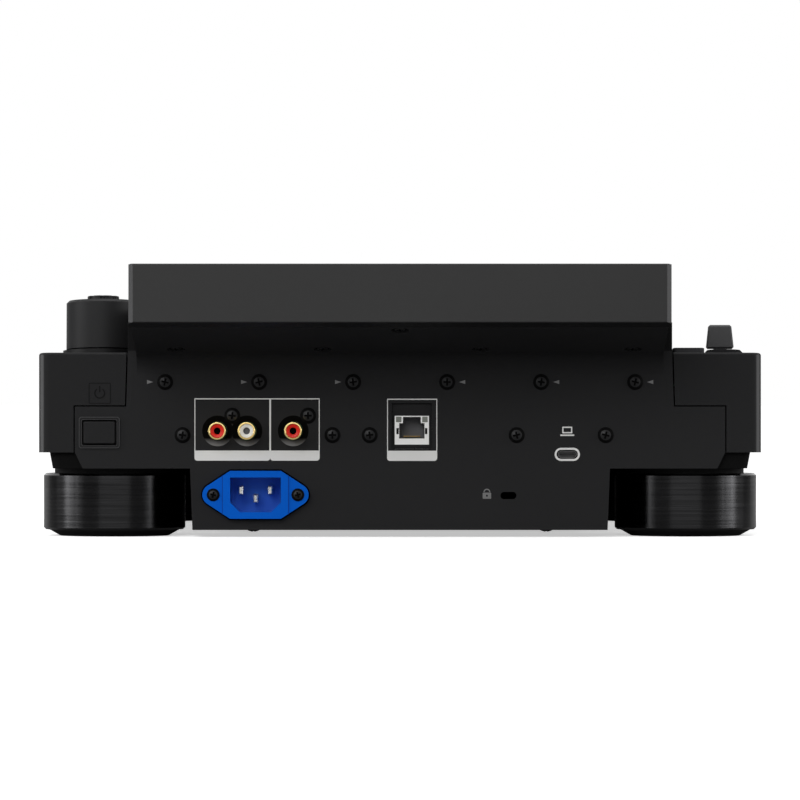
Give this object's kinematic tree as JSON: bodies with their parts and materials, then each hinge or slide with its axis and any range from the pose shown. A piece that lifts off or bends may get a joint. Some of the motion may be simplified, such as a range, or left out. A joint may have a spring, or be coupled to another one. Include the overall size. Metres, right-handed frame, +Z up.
{
  "type": "tabletop media player",
  "caption": "Free-standing tabletop player with an overhanging screen block, a large jog wheel, keys, knobs, a tempo slider and a rear connector panel on four round feet.",
  "frame": {"origin": "on the table, under the middle of the whole object's box", "axes": "+Z up, +Y to the rear where the connectors are, +X to the user's right"},
  "size_m": [0.342, 0.458, 0.1278],
  "materials": {
    "case": "fine moulded texture",
    "panel": "black powder coat",
    "chassis": "black coat",
    "plate": "black anodised",
    "cover": "dark grey satin",
    "foot": "black brushed",
    "pad": "moulded rubber",
    "glass": "black gloss",
    "lcd": "module frame",
    "inlet": "blue moulding",
    "pins": "plated",
    "gold": "gold plated",
    "red": "moulded",
    "white": "moulded",
    "shield": "stamped shield",
    "screw": "black oxide",
    "button": "fine moulded texture",
    "switch": "moulded",
    "encoder": "turned",
    "board": "solder mask",
    "supply": "board and windings",
    "jog_base": "satin",
    "jog_post": "turned",
    "jog_rim": "satin",
    "jog_top": "spun black",
    "knob": "satin",
    "lever": "satin grey",
    "slider": "satin",
    "port": "moulded grey",
    "cue_pad": "translucent rubber",
    "big_key": "satin with lit ring",
    "key": "silicone"
  },
  "bodies": {
    "player": {"upper_case": "case", "display_housing": "case", "rear_panel": "panel", "bottom_chassis": "chassis", "top_plate": "plate", "display_rear_cover": "cover", "feet": "foot", "foot_pads": "pad", "display_glass": "glass", "jog_display": "glass", "display_panel": "lcd", "ac_inlet": "inlet", "ac_inlet_pins": "pins", "rca_sleeves": "gold", "rca_red_inserts": "red", "rca_white_insert": "white", "ethernet_jack": "shield", "usb_c_port": "shield", "case_screws": "screw", "power_switch": "switch", "key_switches": "switch", "lever_switch": "switch", "tempo_fader": "switch", "jog_feel_pot": "switch", "browse_encoder": "encoder", "main_board": "board", "control_board": "board", "power_supply": "supply", "jog_base": "jog_base", "jog_post": "jog_post", "usb_port_bezel": "port"},
    "jog": {"jog_wheel": "jog_rim", "jog_top_ring": "jog_top"},
    "hot_cue_button_1": {"hot_cue_button_1": "cue_pad"},
    "hot_cue_button_2": {"hot_cue_button_2": "cue_pad"},
    "hot_cue_button_3": {"hot_cue_button_3": "cue_pad"},
    "hot_cue_button_4": {"hot_cue_button_4": "cue_pad"},
    "hot_cue_button_5": {"hot_cue_button_5": "cue_pad"},
    "hot_cue_button_6": {"hot_cue_button_6": "cue_pad"},
    "hot_cue_button_7": {"hot_cue_button_7": "cue_pad"},
    "hot_cue_button_8": {"hot_cue_button_8": "cue_pad"},
    "play_button": {"play_button": "big_key"},
    "cue_button": {"cue_button": "big_key"},
    "search_back_button": {"search_back_button": "key"},
    "search_forward_button": {"search_forward_button": "key"},
    "track_back_button": {"track_back_button": "key"},
    "track_forward_button": {"track_forward_button": "key"},
    "loop_in_button": {"loop_in_button": "key"},
    "loop_out_button": {"loop_out_button": "key"},
    "loop_exit_button": {"loop_exit_button": "key"},
    "beat_sync_button": {"beat_sync_button": "key"},
    "master_button": {"master_button": "key"},
    "master_tempo_button": {"master_tempo_button": "key"},
    "tempo_range_button": {"tempo_range_button": "key"},
    "power_button": {"power_button": "button"},
    "browse_rotor": {"browse_rotor": "encoder"},
    "browse_knob": {"browse_knob": "knob"},
    "direction_lever": {"direction_lever": "lever"},
    "tempo_slider": {"tempo_slider": "slider"},
    "jog_feel_knob": {"jog_feel_knob": "knob"}
  },
  "joints": [
    {"name": "jog_turn", "type": "hinge", "parent": "player", "child": "jog", "pos_m": [0, -0.10124, 0.07077], "axis": [0, -0.061, 0.9981], "continuous": true},
    {"name": "hot_cue_button_1_press", "type": "slide", "parent": "player", "child": "hot_cue_button_1", "axis": [0, 0.061, -0.9981], "range_m": [0, 0.0006], "stiffness_N_per_m": 300, "springref_m": -0.001},
    {"name": "hot_cue_button_2_press", "type": "slide", "parent": "player", "child": "hot_cue_button_2", "axis": [0, 0.061, -0.9981], "range_m": [0, 0.0006], "stiffness_N_per_m": 300, "springref_m": -0.001},
    {"name": "hot_cue_button_3_press", "type": "slide", "parent": "player", "child": "hot_cue_button_3", "axis": [0, 0.061, -0.9981], "range_m": [0, 0.0006], "stiffness_N_per_m": 300, "springref_m": -0.001},
    {"name": "hot_cue_button_4_press", "type": "slide", "parent": "player", "child": "hot_cue_button_4", "axis": [0, 0.061, -0.9981], "range_m": [0, 0.0006], "stiffness_N_per_m": 300, "springref_m": -0.001},
    {"name": "hot_cue_button_5_press", "type": "slide", "parent": "player", "child": "hot_cue_button_5", "axis": [0, 0.061, -0.9981], "range_m": [0, 0.0006], "stiffness_N_per_m": 300, "springref_m": -0.001},
    {"name": "hot_cue_button_6_press", "type": "slide", "parent": "player", "child": "hot_cue_button_6", "axis": [0, 0.061, -0.9981], "range_m": [0, 0.0006], "stiffness_N_per_m": 300, "springref_m": -0.001},
    {"name": "hot_cue_button_7_press", "type": "slide", "parent": "player", "child": "hot_cue_button_7", "axis": [0, 0.061, -0.9981], "range_m": [0, 0.0006], "stiffness_N_per_m": 300, "springref_m": -0.001},
    {"name": "hot_cue_button_8_press", "type": "slide", "parent": "player", "child": "hot_cue_button_8", "axis": [0, 0.061, -0.9981], "range_m": [0, 0.0006], "stiffness_N_per_m": 300, "springref_m": -0.001},
    {"name": "play_button_press", "type": "slide", "parent": "player", "child": "play_button", "axis": [0, 0.061, -0.9981], "range_m": [0, 0.001], "stiffness_N_per_m": 300, "springref_m": -0.001},
    {"name": "cue_button_press", "type": "slide", "parent": "player", "child": "cue_button", "axis": [0, 0.061, -0.9981], "range_m": [0, 0.001], "stiffness_N_per_m": 300, "springref_m": -0.001},
    {"name": "search_back_button_press", "type": "slide", "parent": "player", "child": "search_back_button", "axis": [0, 0.061, -0.9981], "range_m": [0, 0.0006], "stiffness_N_per_m": 300, "springref_m": -0.001},
    {"name": "search_forward_button_press", "type": "slide", "parent": "player", "child": "search_forward_button", "axis": [0, 0.061, -0.9981], "range_m": [0, 0.0006], "stiffness_N_per_m": 300, "springref_m": -0.001},
    {"name": "track_back_button_press", "type": "slide", "parent": "player", "child": "track_back_button", "axis": [0, 0.061, -0.9981], "range_m": [0, 0.0006], "stiffness_N_per_m": 300, "springref_m": -0.001},
    {"name": "track_forward_button_press", "type": "slide", "parent": "player", "child": "track_forward_button", "axis": [0, 0.061, -0.9981], "range_m": [0, 0.0006], "stiffness_N_per_m": 300, "springref_m": -0.001},
    {"name": "loop_in_button_press", "type": "slide", "parent": "player", "child": "loop_in_button", "axis": [0, 0.061, -0.9981], "range_m": [0, 0.0006], "stiffness_N_per_m": 300, "springref_m": -0.001},
    {"name": "loop_out_button_press", "type": "slide", "parent": "player", "child": "loop_out_button", "axis": [0, 0.061, -0.9981], "range_m": [0, 0.0006], "stiffness_N_per_m": 300, "springref_m": -0.001},
    {"name": "loop_exit_button_press", "type": "slide", "parent": "player", "child": "loop_exit_button", "axis": [0, 0.061, -0.9981], "range_m": [0, 0.0006], "stiffness_N_per_m": 300, "springref_m": -0.001},
    {"name": "beat_sync_button_press", "type": "slide", "parent": "player", "child": "beat_sync_button", "axis": [0, 0.061, -0.9981], "range_m": [0, 0.0006], "stiffness_N_per_m": 300, "springref_m": -0.001},
    {"name": "master_button_press", "type": "slide", "parent": "player", "child": "master_button", "axis": [0, 0.061, -0.9981], "range_m": [0, 0.0006], "stiffness_N_per_m": 300, "springref_m": -0.001},
    {"name": "master_tempo_button_press", "type": "slide", "parent": "player", "child": "master_tempo_button", "axis": [0, 0.061, -0.9981], "range_m": [0, 0.0006], "stiffness_N_per_m": 300, "springref_m": -0.001},
    {"name": "tempo_range_button_press", "type": "slide", "parent": "player", "child": "tempo_range_button", "axis": [0, 0.061, -0.9981], "range_m": [0, 0.0006], "stiffness_N_per_m": 300, "springref_m": -0.001},
    {"name": "power_button_press", "type": "slide", "parent": "player", "child": "power_button", "axis": [0, -1, 0], "range_m": [0, 0.002], "stiffness_N_per_m": 300, "springref_m": -0.001},
    {"name": "browse_turn", "type": "hinge", "parent": "player", "child": "browse_rotor", "pos_m": [0.1422, 0.13496, 0.08522], "axis": [0, -0.061, 0.9981], "continuous": true},
    {"name": "browse_knob_press", "type": "slide", "parent": "browse_rotor", "child": "browse_knob", "axis": [0, 0.061, -0.9981], "range_m": [0, 0.0006], "stiffness_N_per_m": 500, "springref_m": -0.001},
    {"name": "direction_tilt", "type": "hinge", "parent": "player", "child": "direction_lever", "pos_m": [-0.1532, 0.13533, 0.07923], "axis": [1, 0, 0], "range_deg": [-12, 12]},
    {"name": "tempo_slide", "type": "slide", "parent": "player", "child": "tempo_slider", "axis": [0, 0.9981, 0.061], "range_m": [-0.05, 0.05]},
    {"name": "jog_feel_turn", "type": "hinge", "parent": "player", "child": "jog_feel_knob", "pos_m": [0.138, 0.01055, 0.07761], "axis": [0, -0.061, 0.9981], "range_deg": [-150, 150]}
  ]
}
